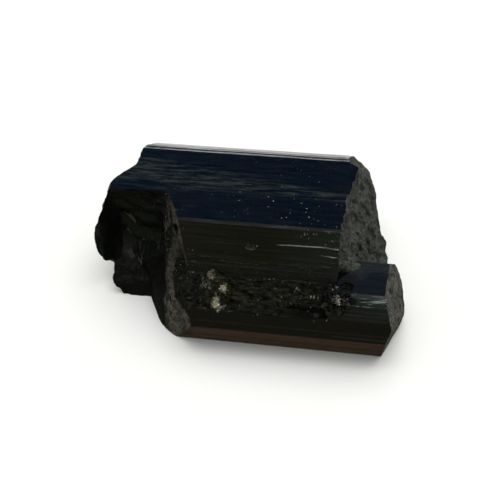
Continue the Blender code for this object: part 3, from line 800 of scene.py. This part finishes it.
# Crumbs run from black to beige and speckle the rough places like dust. The knob's chunks are black
# glass and catch small lights, and the pale grains are stained quartz in the knob's heart and painted
# glints in the seam, and stand out dull white.
# Each kind has its radius in mm, and how many there are on a square millimetre where it is thickest.
grains = strewn("strewn_grains", False, GRAIN_SMALLEST, GRAIN_LARGEST)
crumb_finish = grain_material("crushed_schorl_and_quartz", "12120d", "747165", 1.7 / MM, 0.4)
chunk_finish = grain_material("glassy_schorl_chunks", "050504", "20211b", 0.8 / MM, 0.22)
pale_finish = grain_material("stained_quartz_and_painted_glint_grains", "403e34", "9f9c86", 1.2 / MM, 0.4)
for name, density, radius, thickly, finish in (
        ("crumb_grains", crumb_density, 0.14, 6.0, crumb_finish),
        ("knob_chunks", chunk_density, 0.6, 1.8, chunk_finish),
        ("pale_grains", pale_density, 0.18, 15.0, pale_finish)):
    piece = ground_object(name, stone_points, stone_triangles, density)
    run_tree(piece, grains, {"Grain radius": radius * MM, "Tilt": GRAIN_TILT,
                             "Per area": thickly / MM ** 2, "Material": finish})
    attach(piece, "root")


# ---- The stage ---------------------------------------------------------------------------------
# Not part of the stone: a pale floor in two leaves, soft light from above, the air of the room that
# the polished stone mirrors, and the camera.
FLOOR_SIZE = 3.0
FLOOR_DROP = 0.02 * MM        # how far the floor lies under the stone
FLOOR_SEAM_Y = 60.0 * MM      # the leaf behind this line also shows in the stone's polish
CAMERA_TURN, CAMERA_TILT, CAMERA_ROLL = (math.radians(angle) for angle in (12.0, 40.0, 3.0))
CAMERA_AIM = Vector((0.265, -3.211, 13.0)) * MM
CAMERA_DISTANCE = 200.0 * MM
CAMERA_LENS, CAMERA_SENSOR = 72.0, 36.0     # focal length and film width, mm

# Matt white card: an even pale ground that takes a soft shadow and gives no shine.
paper = bpy.data.materials.new("matt_white_card")
paper.use_nodes = True
for socket, value in (("Base Color", linear("f2f2f1")), ("Roughness", 0.9), ("Specular IOR Level", 0.1)):
    paper.node_tree.nodes["Principled BSDF"].inputs[socket].default_value = value


def floor_leaf(name, near, far, in_gloss):
    mesh = bpy.data.meshes.new(name)
    half = FLOOR_SIZE / 2
    corners = [(-half, near, 0), (half, near, 0), (half, far, 0), (-half, far, 0)]
    mesh.from_pydata(corners, [], [(0, 1, 2, 3)])
    mesh.materials.append(paper)
    leaf = placed(name, mesh)
    leaf.location.z = -FLOOR_DROP
    leaf.visible_glossy = in_gloss


floor_leaf("floor_front", -FLOOR_SIZE / 2, FLOOR_SEAM_Y, False)
floor_leaf("floor_back", FLOOR_SEAM_Y, FLOOR_SIZE / 2, True)


def soft_light(name, place, width, depth, watts, in_gloss):
    lamp = bpy.data.lights.new(name, "AREA")
    lamp.shape = "RECTANGLE"
    lamp.size, lamp.size_y, lamp.energy = width, depth, watts
    holder = placed(name, lamp)
    holder.location = place
    holder.rotation_euler = (-Vector(place)).to_track_quat("-Z", "Y").to_euler()
    holder.visible_glossy = in_gloss


soft_light("overhead_strip", (0.1, -0.17, 1.0), 0.9, 0.28, 2.4, True)
soft_light("overhead_fill", (0.2, -0.1, 1.4), 1.6, 1.6, 12.0, False)

# The room in the stone's polish is olive in front, blue behind, and grey to brown below. Dull
# surfaces get an even white light, and the camera sees a white backdrop.
world = bpy.data.worlds.new("studio_air")
bpy.context.scene.world = world
world.use_nodes = True
sky = world.node_tree
sky.nodes.clear()
towards = add_node(sky, "ShaderNodeTexCoord").outputs["Generated"]
_, sky_back, sky_up = add_node(sky, "ShaderNodeSeparateXYZ", {0: towards}).outputs
ray = add_node(sky, "ShaderNodeLightPath").outputs
behind, straight_down, below = (
    add_node(sky, "ShaderNodeMapRange", {"Value": source, "From Min": start, "From Max": full})
    for source, start, full in ((sky_back, -0.35, 0.35), (sky_up, -0.6, -0.95), (sky_up, 0.05, -0.1)))
ground_tone = add_node(sky, "ShaderNodeMix", {
    MIX_FACTOR: straight_down, MIX_A: linear("52594d"), MIX_B: linear("4f4438")}, data_type="RGBA")
air = linear("595c4b")
for share, layer in ((behind, linear("224264")), (below, ground_tone),
                     (ray["Is Diffuse Ray"], linear("cececb")), (ray["Is Camera Ray"], linear("f7f7f7"))):
    air = add_node(sky, "ShaderNodeMix", {MIX_FACTOR: share, MIX_A: air, MIX_B: layer}, data_type="RGBA")
glow = add_node(sky, "ShaderNodeBackground", {"Color": air})
add_node(sky, "ShaderNodeOutputWorld", {"Surface": glow})


def camera_matrix():
    """The camera's place and turn: it looks at the stone from its front, above and a little right."""
    turn, tilt, roll = CAMERA_TURN, CAMERA_TILT, CAMERA_ROLL
    back = Vector((math.sin(turn) * math.cos(tilt), -math.cos(turn) * math.cos(tilt), math.sin(tilt)))
    right = Vector((math.cos(turn), math.sin(turn), 0.0))
    up = back.cross(right)
    rolled_right = right * math.cos(roll) - up * math.sin(roll)
    rolled_up = right * math.sin(roll) + up * math.cos(roll)
    matrix = Matrix((rolled_right, rolled_up, back)).transposed().to_4x4()
    matrix.translation = CAMERA_AIM + back * CAMERA_DISTANCE
    return matrix


lens = bpy.data.cameras.new("camera")
lens.lens, lens.sensor_width, lens.clip_start = CAMERA_LENS, CAMERA_SENSOR, 10.0 * MM
camera = placed("camera", lens)
camera.matrix_world = camera_matrix()
bpy.context.scene.camera = camera
bpy.context.scene.view_settings.view_transform = "Standard"
